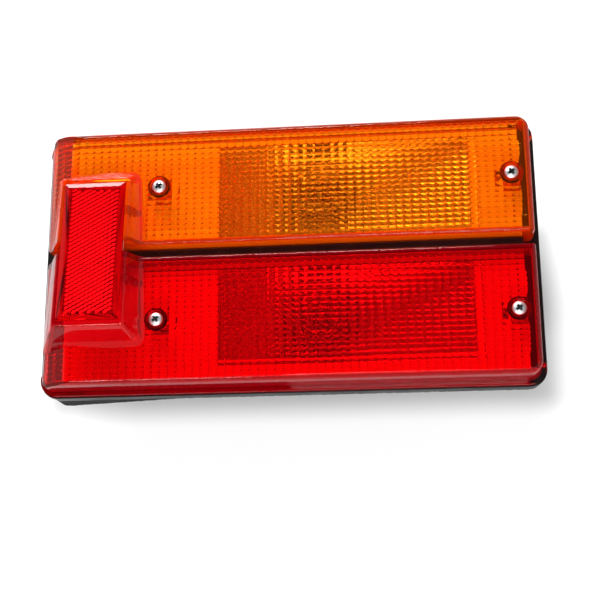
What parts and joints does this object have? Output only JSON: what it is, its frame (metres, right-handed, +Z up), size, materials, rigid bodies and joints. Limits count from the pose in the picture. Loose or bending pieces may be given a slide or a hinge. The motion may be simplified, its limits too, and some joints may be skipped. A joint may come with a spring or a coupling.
{
  "type": "vehicle tail light cluster",
  "caption": "Rear lamp with an amber lens above a red one, both wrapped round one end, and a reflex reflector in a raised boss across the two.",
  "frame": {"origin": "centre of the rectangle of mounting studs, on the mounting face, which is the flat rear face of the foam gasket", "axes": "+X to the right as the lamp is looked at from in front, along its length; +Y into the vehicle, along the studs; +Z up"},
  "size_m": [0.267, 0.0911, 0.147],
  "materials": {
    "housing": "satin black moulding",
    "amber_acrylic": "clear amber",
    "red_acrylic": "clear red",
    "reflector_acrylic": "prismatic red",
    "rubber": "matt",
    "foam": "open foam",
    "backing_plastic": "matt",
    "bar_plastic": "dark red",
    "metallised_plastic": "vacuum metallised",
    "bulb_glass": "clear",
    "filament_wire": "plain wire",
    "brass": "plain",
    "holder_plastic": "matt black",
    "zinc_steel": "bright zinc"
  },
  "bodies": {
    "root": {"housing": "housing", "amber_lens": "amber_acrylic", "red_lens": "red_acrylic", "amber_lens_seal": "rubber", "red_lens_seal": "rubber", "body_gasket": "foam", "reflex_reflector": "reflector_acrylic", "reflector_backing": "backing_plastic", "upper_retaining_bar": "bar_plastic", "lower_retaining_bar": "bar_plastic", "indicator_bowl": "metallised_plastic", "tail_bowl": "metallised_plastic", "indicator_bulb_glass": "bulb_glass", "indicator_bulb_cap": "brass", "indicator_filament": "filament_wire", "tail_bulb_glass": "bulb_glass", "tail_bulb_cap": "brass", "tail_filaments": "filament_wire", "indicator_bulb_holder": "holder_plastic", "tail_bulb_holder": "holder_plastic", "indicator_holder_seal": "rubber", "tail_holder_seal": "rubber", "indicator_contact": "brass", "tail_contact": "brass", "stop_contact": "brass", "earth_strip": "brass", "lens_screws": "zinc_steel", "screw_washers": "rubber", "mounting_studs": "zinc_steel"}
  },
  "joints": []
}
